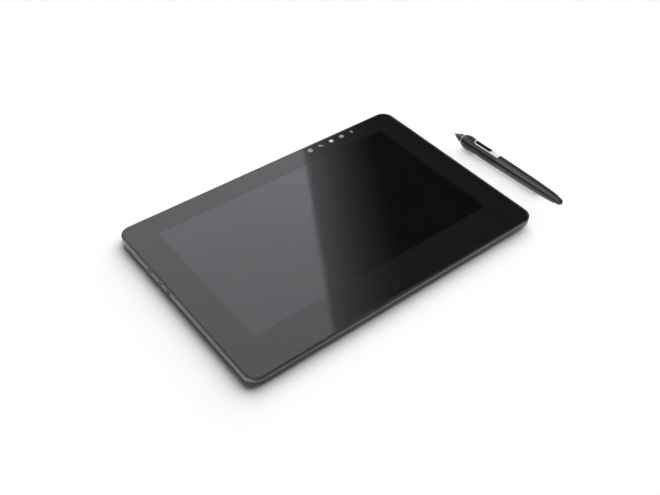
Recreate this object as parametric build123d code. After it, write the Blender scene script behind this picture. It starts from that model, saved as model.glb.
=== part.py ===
from build123d import *
import math
import os

# A drawing tablet with a built-in screen, and the pen that lies beside it.
# Millimetres, +Z up. The tablet is drawn about its own middle, with the table at zero height.
# The last step moves the whole set so that the origin lies under the middle of its box.

os.makedirs("parts", exist_ok=True)

# Driving sizes of the tablet
tablet_length = 360.0
tablet_width = 235.0
total_thickness = 12.9
corner_radius = 13.0
foot_height = 1.0

# Clearances, used wherever two pieces meet
seat_gap = 0.05
loose_gap = 0.3
pin_clearance = 0.05
overrun = 5.0

# Rear cover
lip_drop = 0.45
band_height_far = 9.5
band_height_near = 8.0
belly_slope_degrees = 30.0
corner_spread = 3.0
slope_reach = 10.0
cover_wall = 1.2
cover_floor = 1.2
lip_softening = 0.5
band_softening = 2.2
belly_softening = 2.0

# Glass, its printed border and the gasket around it
glass_thickness = 0.9
glass_margin = 1.7
glass_edge_softening = 0.3
mask_thickness = 0.1
mask_margin = 0.3
print_gap = 0.12
symbol_gap = 0.02
gasket_height = 0.45

# Screen module, from the front to the back
screen_side_border = 32.15
screen_near_border = 41.38
screen_far_border = 26.82
cell_overlap = 3.2
touch_film_thickness = 0.15
cell_thickness = 1.3
diffuser_thickness = 0.2
prism_thickness = 0.25
guide_thickness = 1.6
reflector_thickness = 0.2
tray_sheet = 0.4
film_inset = 0.6
light_bar_depth = 2.6
light_strip_depth = 0.8
light_count = 36
light_length = 4.0

# Pen sensing board and its shield, under the screen
sensor_thickness = 0.6
shield_thickness = 0.2
sensor_near_inset = 4.0
sensor_side_inset = 1.0

# Mid frame
frame_plate = 1.0
frame_inset = 6.0
rim_wall = 1.2
flange_thickness = 0.8
skirt_wall = 1.0
boss_radius = 2.4

# Touch keys
key_last_inset = 59.9
key_count = 5
key_pitch = 15.2
key_far_inset = 8.5
key_size = 4.6
key_line = 0.5
key_bar = 0.9
key_head_radius = 1.15
key_ring_line = 0.9
key_row = 0.75
tool_head_radius = 0.95
tool_turn_degrees = -45.0
key_board_width = 12.0
key_board_thickness = 0.6
key_board_margin = 10.0

# Sockets in the side walls
port_board_thickness = 0.6
port_board_depth = 15.0
port_board_margin = 6.0
usb_width = 8.9
usb_height = 3.1
usb_depth = 7.4
usb_sheet = 0.25
usb_tongue_width = 6.7
usb_tongue_height = 0.7
usb_tongue_length = 5.0
usb_back = 1.2
usb_window_gap = 0.1
socket_recess = 0.5
usb_left_far_inset = 63.8
usb_left_near_inset = 84.1
usb_right_inset = 63.8
jack_inset = 99.5
jack_bore_radius = 1.75
jack_block_width = 6.0
jack_block_height = 4.3
jack_depth = 14.0
jack_back = 0.8
jack_window_radius = 2.0
card_inset = 91.5
card_width = 25.6
card_height = 3.0
card_depth = 17.0
card_sheet = 0.3
card_window_gap = 0.15

# Power button in the far wall
button_side_inset = 52.0
button_width = 12.0
button_height = 2.6
button_proud = 0.3
button_travel = 0.5
button_flange_depth = 0.8
button_flange_reach = 0.8
switch_width = 6.0
switch_height = 3.4

# Fold-out legs under the far side
leg_place_share = 59 / 90
leg_hinge_far_inset = 31.5
leg_length = 62.0
leg_width = 34.0
leg_thickness = 3.2
leg_lift = 0.1
leg_pin_radius = 0.9
leg_pin_seat = 1.1
leg_tip_length = 8.0
leg_dish_length = 26.0
leg_dish_width = 20.0
leg_dish_depth = 0.6
pocket_gap = 0.4
pocket_wall = 1.5
pocket_roof = 0.6
notch_width = 16.0
notch_length = 6.0
notch_depth = 2.2

# Rubber feet
foot_end_inset = 37.0
foot_width = 7.0
foot_sink = 0.4
foot_front_inset = 17.5
foot_rear_inset = 19.5
foot_softening = 0.4

# Cover screws
screw_count = 4
screw_end_inset = 28.0
screw_near_inset = 27.5
screw_far_inset = 11.5
screw_head_radius = 1.8
screw_head_height = 0.6
screw_shaft_radius = 0.9
screw_length = 3.6
screw_socket_radius = 0.8
screw_socket_sides = 6
screw_socket_depth = 0.4

# Main board and what stands on it
board_length_share = 26 / 90
board_width = 70.0
board_thickness = 0.8
board_place_share = 20 / 90
board_near_shift = 5.0
board_standoff = 0.5
board_hole_inset = 4.0
board_screw_radius = 0.8
board_screw_head_radius = 1.5
board_screw_head = 0.5
standoff_radius = 2.2
processor_shift_x = 20.0
processor_shift_y = 9.0
processor_size = 15.0
chip_height = 0.7
chip_size = 11.0
chip_column_pitch = 22.0
chip_row_pitch = 16.5
connector_width = 26.0
connector_depth = 4.0
connector_height = 1.2
connector_screw_gap = 3.5
cable_width = 22.0
cable_thickness = 0.15
cable_bend = 1.0
cable_window_gap = 1.0

# Fan, cooling fins, heat pipe and vents
fan_place_share = 25 / 90
fan_far_inset = 55.5
fan_case_length = 38.0
fan_case_width = 36.0
fan_case_sheet = 0.3
fan_case_wall = 1.0
fan_bore_radius = 16.0
fan_intake_radius = 10.0
fan_post_radius = 1.2
fan_hub_radius = 5.0
fan_blade_reach = 15.2
fan_blade_thickness = 0.8
fan_blade_count = 11
fan_blade_lean_degrees = 35.0
fin_block_length = 12.0
fin_count = 9
fin_sheet = 0.5
fin_base = 0.5
fin_height = 1.6
heat_pipe_width = 8.0
heat_pipe_thickness = 0.8
heat_pipe_bend = 12.0
vent_slot_length = 24.0
vent_slot_width = 1.6
vent_pitch = 3.2
vent_count = 9
mesh_thickness = 0.15
mesh_margin = 3.0
mesh_hole = 2.0
mesh_pitch = 3.0

# Pen, measured from the tip of its nib along its axis
pen_length = 157.0
pen_tip_x = 219.95
pen_tip_y = 38.75
pen_turn_degrees = 2.1
pen_tilt_degrees = 0.8
switch_turn_degrees = 6.0
nib_radius = 0.8
nib_tip_radius = 0.45
nib_round_share = 0.8
nib_taper = 1.6
nib_showing = 2.3
nib_length = 27.0
nib_clearance = 0.1
nib_travel = 0.6
cone_front_radius = 1.25
cone_middle_radius = 3.85
cone_rear_radius = 5.35
cone_middle = 7.4
cone_end = 13.4
cone_spigot_radius = 4.0
cone_spigot_bore = 3.0
cone_spigot_end = 16.8
ring_width = 0.7
ring_radius = 5.55
grip_front_radius = 5.75
flare_start_radius = 6.9
flare_start = 16.0
flare_radius = 8.1
flare = 20.0
waist_radius = 7.75
waist = 29.0
body_radius = 7.45
body_middle = 46.0
grip_end = 66.5
grip_end_radius = 7.3
barrel_middle_radius = 6.85
barrel_middle_share = 34 / 70
barrel_rear_radius = 5.8
barrel_taper_length = 8.4
collar_start_radius = 5.3
collar_length = 4.2
collar_end_radius = 4.85
seam_gap = 0.15
pen_bore_radius = 4.1
barrel_bore_radius = 3.9
eraser_radius = 4.1
eraser_shoulder_radius = 3.95
eraser_showing = 8.4
eraser_dome_length = 5.4
eraser_seat_depth = 3.0
eraser_dome_share = 0.58
eraser_stem_radius = 1.2
eraser_stem_length = 8.6
eraser_travel = 0.8
eraser_sensor_length = 5.0
coil_radius = 3.9
coil_bore_radius = 1.1
coil_start = 17.4
coil_length = 9.0
pressure_sensor_length = 6.5
pen_board_start = 36.0
pen_board_rear_gap = 3.15
pen_board_width = 6.0
pen_board_thickness = 0.8
pen_board_height = 1.6
frame_start = 30.3
frame_width = 7.6
frame_floor = 4.6
frame_proud = 0.1
frame_ramp = 9.8
frame_ramp_slope_share = 0.12
rocker_start = 31.7
rocker_end = 55.2
rocker_width = 5.2
rocker_floor = 4.7
rocker_proud = 0.35
rocker_gap = 0.35
rocker_pin_radius = 0.5
rocker_pin_height = 4.6
rocker_boss_radius = 1.1

# Places worked out from the sizes above
half_length = tablet_length / 2
half_width = tablet_width / 2
screen_length = tablet_length - 2 * screen_side_border
screen_width = tablet_width - screen_near_border - screen_far_border
screen_shift = (screen_near_border - screen_far_border) / 2
glass_top = total_thickness
glass_low = glass_top - glass_thickness
cover_top = glass_top - lip_drop
belly = foot_height
floor_top = belly + cover_floor
mask_top = glass_low - print_gap
mask_low = mask_top - mask_thickness
touch_top = mask_low - seat_gap
touch_low = touch_top - touch_film_thickness
cell_top = touch_low - seat_gap
cell_low = cell_top - cell_thickness
diffuser_top = cell_low - seat_gap
diffuser_low = diffuser_top - diffuser_thickness
prism_top = diffuser_low - seat_gap
prism_low = prism_top - prism_thickness
guide_top = prism_low - seat_gap
guide_low = guide_top - guide_thickness
reflector_top = guide_low - seat_gap
reflector_low = reflector_top - reflector_thickness
tray_top = reflector_low - seat_gap
tray_low = tray_top - tray_sheet
sensor_top = tray_low - seat_gap
sensor_low = sensor_top - sensor_thickness
shield_top = sensor_low - seat_gap
shield_low = shield_top - shield_thickness
plate_top = shield_low - seat_gap
plate_low = plate_top - frame_plate
flange_top = mask_low - seat_gap
flange_low = flange_top - flange_thickness
cell_length = screen_length + 2 * cell_overlap
cell_width = screen_width + 2 * cell_overlap
tray_length = cell_length + 2 * (loose_gap + tray_sheet)
tray_width = cell_width + 2 * (loose_gap + tray_sheet)
rim_length = tray_length + 2 * loose_gap
rim_width = tray_width + 2 * loose_gap
port_board_low = plate_top + seat_gap
port_board_top = port_board_low + port_board_thickness
port_z = port_board_top + seat_gap + usb_height / 2
board_low = floor_top + board_standoff + seat_gap
board_top = board_low + board_thickness
socket_face = half_length - socket_recess
leg_low = belly + leg_lift
leg_axis_z = leg_low + leg_thickness / 2
leg_axis_y = half_width - leg_hinge_far_inset
leg_axis_x = half_length * leg_place_share
pocket_top = leg_low + leg_thickness + loose_gap
button_z = (cover_top + total_thickness - band_height_far) / 2
mesh_low = floor_top + seat_gap
fan_case_low = mesh_low + mesh_thickness + seat_gap
fan_case_top = plate_low - seat_gap
foot_length = tablet_length - 2 * foot_end_inset
key_first_x = half_length - key_last_inset - (key_count - 1) * key_pitch
usb_left_far_y = half_width - usb_left_far_inset
usb_left_near_y = half_width - usb_left_near_inset
usb_right_y = half_width - usb_right_inset
jack_y = half_width - jack_inset
card_y = half_width - card_inset
button_x = half_length - button_side_inset
board_length = tablet_length * board_length_share
board_x = half_length * board_place_share
board_y = -board_near_shift
processor_x = board_x - processor_shift_x
processor_y = board_y + processor_shift_y
connector_inset = board_hole_inset + board_screw_head_radius + connector_screw_gap
connector_reach = (board_length - connector_width) / 2 - connector_inset
display_cable_x = board_x - connector_reach
sensor_cable_x = board_x + connector_reach
fan_x = -half_length * fan_place_share
fan_y = half_width - fan_far_inset
fin_x = fan_x + (fan_case_length + fin_block_length) / 2 + seat_gap
pipe_low = board_top + chip_height + 2 * seat_gap
collar_end = pen_length - eraser_showing
collar_start = collar_end - collar_length
barrel_rear = collar_start - barrel_taper_length
barrel_middle = grip_end + (barrel_rear - grip_end) * barrel_middle_share
eraser_shoulder = pen_length - eraser_dome_length
eraser_inner_end = collar_end - eraser_seat_depth
eraser_stem_end = eraser_inner_end - eraser_stem_length
eraser_sensor_end = eraser_stem_end - eraser_travel - seat_gap
pen_board_end = eraser_sensor_end - eraser_sensor_length - pen_board_rear_gap
rocker_middle = (rocker_start + rocker_end) / 2


# Small helpers
def block(x_low, x_high, y_low, y_high, z_low, z_high):
    middle = Pos((x_low + x_high) / 2, (y_low + y_high) / 2, (z_low + z_high) / 2)
    return middle * Box(x_high - x_low, y_high - y_low, z_high - z_low)


def plate(length, width, radius, z_low, z_high, x=0, y=0):
    return Pos(x, y, z_low) * extrude(RectangleRounded(length, width, radius), amount=z_high - z_low)


def sheet(length, width, z_low, z_high, x=0, y=0):
    return Pos(x, y, z_low) * extrude(Rectangle(length, width), amount=z_high - z_low)


def post(radius, z_low, z_high, x=0, y=0):
    return Pos(x, y, (z_low + z_high) / 2) * Cylinder(radius, z_high - z_low)


def inset_outline(inset, z_low, z_high):
    return plate(tablet_length - 2 * inset, tablet_width - 2 * inset, corner_radius - inset, z_low, z_high)


def spread(count, pitch):
    return [(index - (count - 1) / 2) * pitch for index in range(count)]


# What lies under the sloped sides: the ground below a shallow tray that leans with the wedge
def under_slope(lift):
    far = total_thickness - band_height_far
    near = total_thickness - band_height_near
    rise = math.tan(math.radians(belly_slope_degrees))
    lean = math.degrees(math.atan((near - far) / tablet_width))
    rim = Plane(origin=(0, 0, (near + far) / 2 + lift)).rotated((-lean, 0, 0)).offset(slope_reach * rise)
    downward = Plane(origin=rim.origin, x_dir=rim.x_dir, z_dir=-rim.z_dir)
    outline = RectangleRounded(
        tablet_length + 2 * slope_reach,
        tablet_width + 2 * slope_reach,
        corner_radius + slope_reach + corner_spread,
    )
    depth = near + slope_reach * rise
    tray = extrude(downward * outline, amount=depth, taper=90 - belly_slope_degrees)
    ground = Box(
        tablet_length + 2 * overrun,
        tablet_width + 2 * overrun,
        depth + total_thickness,
        align=(Align.CENTER, Align.CENTER, Align.MAX),
    )
    return rim.location * ground - tray


def cover_form(inset, lift, low, high):
    return inset_outline(inset, low, high) - under_slope(lift)


# Rounded slot that runs along X, its width along Y
def slot_along_x(width, height, x_low, x_high, y, z):
    profile = Plane(origin=(x_low, y, z), x_dir=(0, 1, 0), z_dir=(1, 0, 0)) * SlotOverall(width, height)
    return extrude(profile, amount=x_high - x_low)


# The same along Y, its width along X
def slot_along_y(width, height, y_low, y_high, x, z):
    profile = Plane(origin=(x, y_low, z), x_dir=(-1, 0, 0), z_dir=(0, 1, 0)) * SlotOverall(width, height)
    return extrude(profile, amount=y_high - y_low)


def rod_along_x(radius, x_low, x_high, y, z):
    return Pos((x_low + x_high) / 2, y, z) * Rot(0, 90, 0) * Cylinder(radius, x_high - x_low)


def screw_places():
    step = (tablet_length - 2 * screw_end_inset) / (screw_count - 1)
    rows = (-half_width + screw_near_inset, half_width - screw_far_inset)
    return [(x, y) for y in rows for x in spread(screw_count, step)]


def board_corners():
    reach_x = board_length / 2 - board_hole_inset
    reach_y = board_width / 2 - board_hole_inset
    return [(board_x + sx * reach_x, board_y + sy * reach_y) for sx in (-1, 1) for sy in (-1, 1)]


def leg_sides():
    return {"left": -leg_axis_x, "right": leg_axis_x}


def foot_rows():
    return {"front": -half_width + foot_front_inset, "rear": half_width - foot_rear_inset}


# Rear cover: a metal tub with a bright side band, a sloped underside, leg pockets, vents and socket windows
def cover_skin():
    skin = cover_form(0, 0, belly, cover_top)
    band = [
        edge
        for edge in skin.edges()
        if edge.bounding_box().min.Z > belly + seat_gap and edge.bounding_box().max.Z < cover_top - seat_gap
    ]
    skin = fillet(band, radius=band_softening)
    rim = [edge for edge in skin.edges() if edge.bounding_box().min.Z > cover_top - seat_gap]
    skin = fillet(rim, radius=lip_softening)
    return fillet(skin.faces().sort_by(Axis.Z)[0].edges(), radius=belly_softening)


def leg_pocket_walls(x):
    half = leg_width / 2 + pocket_gap + pocket_wall
    far = leg_axis_y + leg_thickness / 2 + pocket_gap + pocket_wall
    near = leg_axis_y - leg_length - pocket_gap - notch_length - pocket_wall
    return block(x - half, x + half, near, far, belly + belly_softening / 2, pocket_top + pocket_roof)


def leg_pocket_space(x):
    half = leg_width / 2 + pocket_gap
    far = leg_axis_y + leg_thickness / 2 + pocket_gap
    near = leg_axis_y - leg_length - pocket_gap
    space = block(x - half, x + half, near, far, belly - overrun, pocket_top)
    notch = block(
        x - notch_width / 2,
        x + notch_width / 2,
        near - notch_length,
        near + overrun,
        belly - overrun,
        belly + notch_depth,
    )
    reach = half + leg_pin_seat + seat_gap
    pin_hole = rod_along_x(leg_pin_radius + pin_clearance / 2, x - reach, x + reach, leg_axis_y, leg_axis_z)
    return space + notch + pin_hole


def socket_windows():
    windows = []
    for side, y in ((-1, usb_left_far_y), (-1, usb_left_near_y), (1, usb_right_y)):
        ends = sorted((side * (half_length - cover_wall - overrun), side * (half_length + overrun)))
        width = usb_width + 2 * usb_window_gap
        height = usb_height + 2 * usb_window_gap
        windows.append(slot_along_x(width, height, ends[0], ends[1], y, port_z))
    jack_end = -half_length + cover_wall + overrun
    windows.append(rod_along_x(jack_window_radius, -half_length - overrun, jack_end, jack_y, port_z))
    card_half = card_width / 2 + card_window_gap
    card_z = port_board_top + seat_gap + card_height / 2
    card_rise = card_height / 2 + card_window_gap
    windows.append(
        block(
            half_length - cover_wall - overrun,
            half_length + overrun,
            card_y - card_half,
            card_y + card_half,
            card_z - card_rise,
            card_z + card_rise,
        )
    )
    return windows


def vent_slots():
    outline = SlotOverall(vent_slot_length, vent_slot_width, rotation=90)
    slot = extrude(outline, amount=mesh_low - belly + overrun)
    middles = (fan_x, fin_x + fin_block_length + vent_count * vent_pitch / 2)
    shifts = spread(vent_count, vent_pitch)
    return [Pos(x + shift, fan_y, belly - overrun) * slot for x in middles for shift in shifts]


def make_rear_cover():
    slope_lift = cover_wall / math.cos(math.radians(belly_slope_degrees))
    inner = cover_form(cover_wall, slope_lift, floor_top, cover_top + overrun)
    cover = cover_skin() - inner
    for x in leg_sides().values():
        cover = cover + leg_pocket_walls(x)
        cover = cover - leg_pocket_space(x)
    for x, y in board_corners():
        cover = cover + post(standoff_radius, floor_top - seat_gap, floor_top + board_standoff, x, y)
    for window in socket_windows():
        cover = cover - window
    cover = cover - slot_along_y(
        button_width + 2 * loose_gap,
        button_height + 2 * loose_gap,
        half_width - cover_wall - overrun,
        half_width + overrun,
        button_x,
        button_z,
    )
    for slot in vent_slots():
        cover = cover - slot
    for y in foot_rows().values():
        groove = plate(
            foot_length + 2 * seat_gap,
            foot_width + 2 * seat_gap,
            foot_width / 2,
            belly - overrun,
            belly + foot_sink + seat_gap,
            0,
            y,
        )
        cover = cover - groove
    for x, y in screw_places():
        head = post(screw_head_radius + pin_clearance, belly - overrun, belly + screw_head_height, x, y)
        cover = cover - head - post(screw_shaft_radius + pin_clearance, belly, floor_top, x, y)
    for x, y in board_corners():
        hole_low = floor_top - cover_floor / 2
        cover = cover - post(board_screw_radius + pin_clearance, hole_low, board_low, x, y)
    return cover


# Glass front, printed border, touch-key symbols and gasket
def make_cover_glass():
    glass = inset_outline(glass_margin, glass_low, glass_top)
    return fillet(glass.faces().sort_by(Axis.Z)[-1].edges(), radius=glass_edge_softening)


def make_bezel_mask():
    border = inset_outline(glass_margin + mask_margin, mask_low, mask_top)
    opening = sheet(screen_length, screen_width, mask_low - overrun, mask_top + overrun, 0, screen_shift)
    return border - opening


def make_glass_gasket():
    outer = cover_wall + seat_gap
    inner = glass_margin - seat_gap
    low = flange_top + seat_gap
    ring = inset_outline(outer, low, low + gasket_height)
    return ring - inset_outline(inner, low - overrun, low + gasket_height + overrun)


def ring_shape(outer_length, outer_width, line):
    return Rectangle(outer_length, outer_width) - Rectangle(outer_length - 2 * line, outer_width - 2 * line)


def symbol_settings():
    outer = RectangleRounded(key_size, key_size, key_size / 5)
    inner_size = key_size - 2 * key_ring_line
    return [outer - RectangleRounded(inner_size, inner_size, key_size / 10)]


def symbol_tool():
    head_x = key_size / 2 - tool_head_radius / 2
    tool = SlotOverall(2 * head_x, key_bar)
    for x in (-head_x, head_x):
        tool = tool + Pos(x, 0) * Circle(tool_head_radius)
    for x in (-head_x, head_x):
        tool = tool - Pos(x, 0) * Circle(key_bar / 2)
    return [Rot(0, 0, tool_turn_degrees) * tool]


def symbol_display():
    stand_y = -key_size / 2 + key_line / 2
    screen = Pos(0, key_line / 2) * RectangleRounded(key_size, key_size - 2 * key_line, key_line)
    return [screen, Pos(0, stand_y - key_line / 2) * Rectangle(key_size / 2, key_line)]


def symbol_keyboard():
    frame = ring_shape(key_size + key_line, key_size - key_line, key_line)
    rows = [Pos(0, y) * Rectangle(key_size - 3 * key_line, key_row) for y in spread(2, 2 * key_row)]
    return [frame] + rows


def symbol_touch():
    dot = Pos(0, key_size / 2 - key_bar) * (Circle(key_head_radius) - Circle(key_head_radius - key_line))
    finger = Pos(0, -key_size / 4) * Rot(0, 0, 90) * SlotOverall(key_size / 2 + key_bar / 2, key_bar)
    return [dot, finger]


def make_key_symbols():
    shapes = [symbol_settings(), symbol_tool(), symbol_display(), symbol_keyboard(), symbol_touch()]
    low = mask_top + symbol_gap
    thickness = print_gap - 2 * symbol_gap
    solids = []
    for index, faces in enumerate(shapes):
        place = Pos(key_first_x + index * key_pitch, half_width - key_far_inset, low)
        for face in faces:
            solids.extend((place * extrude(face, amount=thickness)).solids())
    return Compound(solids)


def key_board_span():
    last = key_first_x + (key_count - 1) * key_pitch
    return key_first_x - key_board_margin, last + key_board_margin


def make_touch_key_board():
    x_low, x_high = key_board_span()
    y = half_width - key_far_inset - loose_gap
    top = flange_top
    board = plate(x_high - x_low, key_board_width, key_board_width / 8, top - key_board_thickness, top)
    return Pos((x_low + x_high) / 2, y, 0) * board


# Screen module
def film(top, low, inset):
    return sheet(cell_length - 2 * inset, cell_width - 2 * inset, low, top, 0, screen_shift)


def make_panel_tray():
    outer = sheet(tray_length, tray_width, tray_low, cell_low, 0, screen_shift)
    inner_length = tray_length - 2 * tray_sheet
    inner_width = tray_width - 2 * tray_sheet
    return outer - sheet(inner_length, inner_width, tray_top, cell_low + overrun, 0, screen_shift)


def make_light_guide():
    guide = film(guide_top, guide_low, film_inset)
    near = screen_shift - cell_width / 2
    edge = near + light_bar_depth + loose_gap
    room = block(-half_length, half_length, near - overrun, edge, guide_low - overrun, glass_top)
    return guide - room


def make_led_bar():
    near = screen_shift - cell_width / 2
    reach = cell_length / 2 - film_inset
    strip = block(-reach, reach, near, near + light_strip_depth, guide_low, guide_top)
    step = (2 * reach - light_length) / (light_count - 1)
    for x in spread(light_count, step):
        lamp = block(
            x - light_length / 2,
            x + light_length / 2,
            near + light_strip_depth / 2,
            near + light_bar_depth,
            guide_low + seat_gap,
            guide_top - seat_gap,
        )
        strip = strip + lamp
    return strip


def sensor_sheet(low, top):
    near = screen_shift - cell_width / 2 + sensor_near_inset
    far = screen_shift + cell_width / 2
    reach = cell_length / 2 - sensor_side_inset
    return block(-reach, reach, near, far, low, top)


# Mid frame: a plate under the screen, a rim around it and a flange under the edge of the glass
def port_zone(side, y_low, y_high):
    ends = sorted((side * (rim_length / 2 + rim_wall + seat_gap), side * (half_length + overrun)))
    return block(ends[0], ends[1], y_low, y_high, plate_top, flange_low)


def cable_window(x):
    near = screen_shift - tray_width / 2
    half = cable_width / 2 + cable_window_gap
    far = screen_shift - cell_width / 2 + sensor_near_inset - seat_gap
    return block(x - half, x + half, near, far, plate_low - overrun, plate_top + overrun)


def make_mid_frame():
    skirt_length = tablet_length - 2 * frame_inset
    skirt_width = tablet_width - 2 * frame_inset
    skirt_radius = corner_radius - frame_inset
    frame = plate(skirt_length, skirt_width, skirt_radius, plate_low, flange_low + seat_gap)
    hollow = plate(
        skirt_length - 2 * skirt_wall,
        skirt_width - 2 * skirt_wall,
        skirt_radius - skirt_wall,
        plate_top,
        flange_low + overrun,
    )
    frame = frame - hollow
    outer_length = rim_length + 2 * rim_wall
    outer_width = rim_width + 2 * rim_wall
    rim = sheet(outer_length, outer_width, plate_low, flange_top, 0, screen_shift)
    frame = frame + rim + inset_outline(cover_wall + seat_gap, flange_low, flange_top)
    frame = frame - sheet(rim_length, rim_width, plate_top, flange_top + overrun, 0, screen_shift)
    x_low, x_high = key_board_span()
    key_middle = half_width - key_far_inset - loose_gap
    frame = frame - block(
        x_low - loose_gap,
        x_high + loose_gap,
        key_middle - key_board_width / 2 - loose_gap,
        key_middle + key_board_width / 2 + loose_gap,
        flange_low - seat_gap,
        glass_top,
    )
    far_port = usb_left_far_y + usb_width / 2 + port_board_margin + loose_gap
    near_port = jack_y - jack_block_width / 2 - port_board_margin - loose_gap
    card_near = card_y - card_width / 2 - port_board_margin - loose_gap
    card_far = usb_right_y + usb_width / 2 + port_board_margin + loose_gap
    frame = frame - port_zone(-1, near_port, far_port) - port_zone(1, card_near, card_far)
    for x in (display_cable_x, sensor_cable_x):
        frame = frame - cable_window(x)
    for x, y in screw_places():
        frame = frame + post(boss_radius, floor_top + seat_gap, plate_low + seat_gap, x, y)
        frame = frame - post(screw_shaft_radius + pin_clearance, belly, plate_low + seat_gap, x, y)
    return frame


# Sockets and their boards
def port_board(side, y_low, y_high):
    outer = half_length - cover_wall - loose_gap - frame_inset / 2
    ends = sorted((side * outer, side * (outer - port_board_depth)))
    near = y_low - port_board_margin
    far = y_high + port_board_margin
    return block(ends[0], ends[1], near, far, port_board_low, port_board_top)


def make_left_port_board():
    board = port_board(-1, jack_y - jack_block_width / 2, usb_left_far_y + usb_width / 2)
    half = jack_block_width / 2 + loose_gap
    notch = block(
        -half_length, -half_length + jack_depth + overrun, jack_y - half, jack_y + half, plate_top, flange_low
    )
    return board - notch


def make_right_port_board():
    return port_board(1, card_y - card_width / 2, usb_right_y + usb_width / 2)


def make_usb_socket(side, y):
    face = side * socket_face
    rear = side * (socket_face - usb_depth)
    ends = sorted((face, rear))
    shell = slot_along_x(usb_width, usb_height, ends[0], ends[1], y, port_z)
    inner = sorted((side * (socket_face + overrun), side * (socket_face - usb_depth + usb_back)))
    mouth = slot_along_x(usb_width - 2 * usb_sheet, usb_height - 2 * usb_sheet, inner[0], inner[1], y, port_z)
    root = side * (socket_face - usb_depth + usb_back / 2)
    tip = side * (socket_face - usb_depth + usb_back + usb_tongue_length)
    span = sorted((root, tip))
    tongue = block(
        span[0],
        span[1],
        y - usb_tongue_width / 2,
        y + usb_tongue_width / 2,
        port_z - usb_tongue_height / 2,
        port_z + usb_tongue_height / 2,
    )
    return shell - mouth + tongue


def make_headphone_jack():
    rear = -socket_face + jack_depth
    half = jack_block_width / 2
    rise = jack_block_height / 2
    wall_face = -half_length + cover_wall + seat_gap
    body = block(wall_face, rear, jack_y - half, jack_y + half, port_z - rise, port_z + rise)
    collar = rod_along_x(jack_window_radius - seat_gap, -socket_face, wall_face + seat_gap, jack_y, port_z)
    bore = rod_along_x(jack_bore_radius, -half_length - overrun, rear - jack_back, jack_y, port_z)
    return body + collar - bore


def make_card_slot():
    low = port_board_top + seat_gap
    high = low + card_height
    rear = socket_face - card_depth
    half = card_width / 2
    shell = block(rear, socket_face, card_y - half, card_y + half, low, high)
    space = block(
        rear + card_sheet,
        socket_face + overrun,
        card_y - half + card_sheet,
        card_y + half - card_sheet,
        low + card_sheet,
        high - card_sheet,
    )
    return shell - space


# Power button and its switch
def make_power_button():
    face = half_width + button_proud
    inner_wall = half_width - cover_wall - loose_gap
    cap = slot_along_y(button_width, button_height, inner_wall - seat_gap, face, button_x, button_z)
    flange = slot_along_y(
        button_width + 2 * (loose_gap + button_flange_reach),
        button_height + 2 * (loose_gap + button_flange_reach),
        inner_wall - button_flange_depth,
        inner_wall,
        button_x,
        button_z,
    )
    return cap + flange


def make_power_switch():
    rear = half_width - frame_inset + seat_gap
    front = half_width - cover_wall - loose_gap - button_flange_depth - button_travel - loose_gap
    half = switch_width / 2
    rise = switch_height / 2
    return block(button_x - half, button_x + half, rear, front, button_z - rise, button_z + rise)


# Legs, pins and rubber tips
def make_leg(x):
    half = leg_width / 2
    top = leg_low + leg_thickness
    near = leg_axis_y - leg_length + leg_tip_length
    blade = block(x - half, x + half, near, leg_axis_y, leg_low, top)
    knuckle = rod_along_x(leg_thickness / 2, x - half, x + half, leg_axis_y, leg_axis_z)
    leg = blade + knuckle
    dish_y = leg_axis_y - leg_length / 2
    dish = Pos(x, dish_y, leg_low) * extrude(
        RectangleRounded(leg_dish_width, leg_dish_length, leg_dish_width / 4), amount=leg_dish_depth
    )
    hole = rod_along_x(leg_pin_radius + pin_clearance, x - leg_width, x + leg_width, leg_axis_y, leg_axis_z)
    return leg - dish - hole


def make_leg_tip(x):
    near = leg_axis_y - leg_length
    far = near + leg_tip_length - seat_gap
    half = leg_width / 2
    tip = block(x - half, x + half, near, far, leg_low, leg_low + leg_thickness)
    ends = tip.edges().filter_by(Axis.Z).group_by(Axis.Y)[0]
    return fillet(ends, radius=leg_thickness / 2)


def make_leg_pin(x):
    reach = leg_width / 2 + pocket_gap + leg_pin_seat
    return rod_along_x(leg_pin_radius, x - reach, x + reach, leg_axis_y, leg_axis_z)


def make_foot(y):
    foot = plate(foot_length, foot_width, foot_width / 2 - seat_gap, 0, belly + foot_sink, 0, y)
    return fillet(foot.faces().sort_by(Axis.Z)[0].edges(), radius=foot_softening)


# Screws
def make_cover_screws():
    solids = []
    for x, y in screw_places():
        head_low = belly + seat_gap
        head_top = belly + screw_head_height - seat_gap
        head = post(screw_head_radius, head_low, head_top, x, y)
        shaft = post(screw_shaft_radius, head_top - seat_gap, head_top + screw_length, x, y)
        outline = RegularPolygon(screw_socket_radius, screw_socket_sides)
        drive = Pos(x, y, head_low) * extrude(outline, amount=screw_socket_depth)
        solids.extend((head + shaft - drive).solids())
    return Compound(solids)


def make_board_screws():
    solids = []
    for x, y in board_corners():
        low = floor_top - cover_floor / 2 + seat_gap
        seat = board_top + seat_gap
        head = post(board_screw_head_radius, seat, seat + board_screw_head, x, y)
        shaft = post(board_screw_radius, low, seat + board_screw_head / 2, x, y)
        solids.extend((head + shaft).solids())
    return Compound(solids)


# Main board, chips, cables
def make_main_board():
    board = plate(board_length, board_width, board_hole_inset / 2, board_low, board_top, board_x, board_y)
    hole_radius = board_screw_radius + pin_clearance
    for x, y in board_corners():
        board = board - post(hole_radius, board_low - overrun, board_top + overrun, x, y)
    return board


def connector_y():
    return board_y - board_width / 2 + board_hole_inset + connector_depth / 2


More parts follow.
